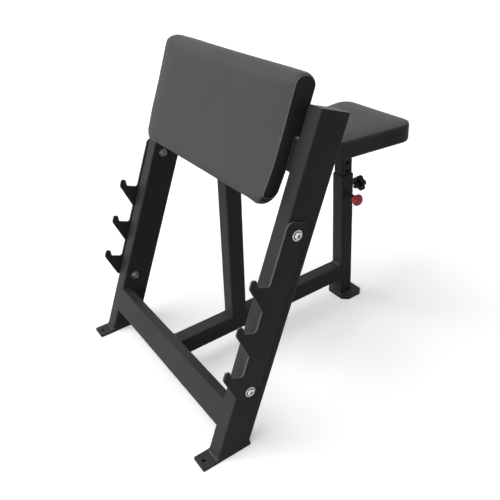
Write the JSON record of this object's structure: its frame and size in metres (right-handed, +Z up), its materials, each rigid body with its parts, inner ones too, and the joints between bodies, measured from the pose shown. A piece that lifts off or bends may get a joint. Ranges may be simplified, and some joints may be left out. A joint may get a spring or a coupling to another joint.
{
  "type": "preacher curl bench",
  "caption": "Preacher curl bench with raked box-tube uprights, open bar hooks, a sloped arm pad and a seat on a pinned telescopic post.",
  "frame": {"origin": "on the floor, at the middle of the footprint", "axes": "+Z up, +X to the right seen from the bar-hook side, +Y towards the seat"},
  "size_m": [0.7878, 0.989, 0.9846],
  "materials": {
    "powder_coat": "matte powder coat",
    "post_coat": "satin",
    "zinc_steel": "zinc plated",
    "black_plastic": "moulded",
    "red_plastic": "moulded",
    "plywood": "raw",
    "grey_vinyl": "grained vinyl"
  },
  "bodies": {
    "frame": {"left_upright": "powder_coat", "right_upright": "powder_coat", "left_foot_plate": "powder_coat", "right_foot_plate": "powder_coat", "lower_crossbeam": "powder_coat", "upper_crossbeam": "powder_coat", "base_tube": "powder_coat", "centre_post": "powder_coat", "seat_post_sleeve": "powder_coat", "rear_foot_plate": "powder_coat", "upright_end_caps": "black_plastic", "left_hook_plate": "powder_coat", "right_hook_plate": "powder_coat", "hook_plate_bolts": "zinc_steel", "hook_plate_washers": "zinc_steel", "hook_plate_nuts": "zinc_steel", "arm_pad_board": "plywood", "arm_pad_cushion": "grey_vinyl", "arm_pad_bolts": "zinc_steel", "arm_pad_washers": "zinc_steel", "sleeve_bushing": "black_plastic", "pin_barrel": "powder_coat", "pin_spring": "zinc_steel", "clamp_nut": "powder_coat"},
    "seat": {"seat_post_tube": "post_coat", "seat_post_plug": "black_plastic", "seat_mounting_plate": "powder_coat", "seat_board": "plywood", "seat_cushion": "grey_vinyl", "seat_bolts": "zinc_steel", "seat_washers": "zinc_steel"},
    "pull_pin": {"pull_pin": "zinc_steel", "pull_knob": "red_plastic"},
    "clamp_knob": {"clamp_screw": "zinc_steel", "clamp_knob": "black_plastic"}
  },
  "joints": [
    {"name": "seat_slide", "type": "slide", "parent": "frame", "child": "seat", "axis": [0, 0, 1], "range_m": [-0.09, 0.09]},
    {"name": "pin_pull", "type": "slide", "parent": "frame", "child": "pull_pin", "axis": [1, 0, 0], "range_m": [-0.009, 0], "stiffness_N_per_m": 400, "springref_m": -0.015},
    {"name": "knob_turn", "type": "hinge", "parent": "frame", "child": "clamp_knob", "pos_m": [0, 0.3675, 0.432], "axis": [0, 1, 0], "range_deg": [0, 360]}
  ]
}
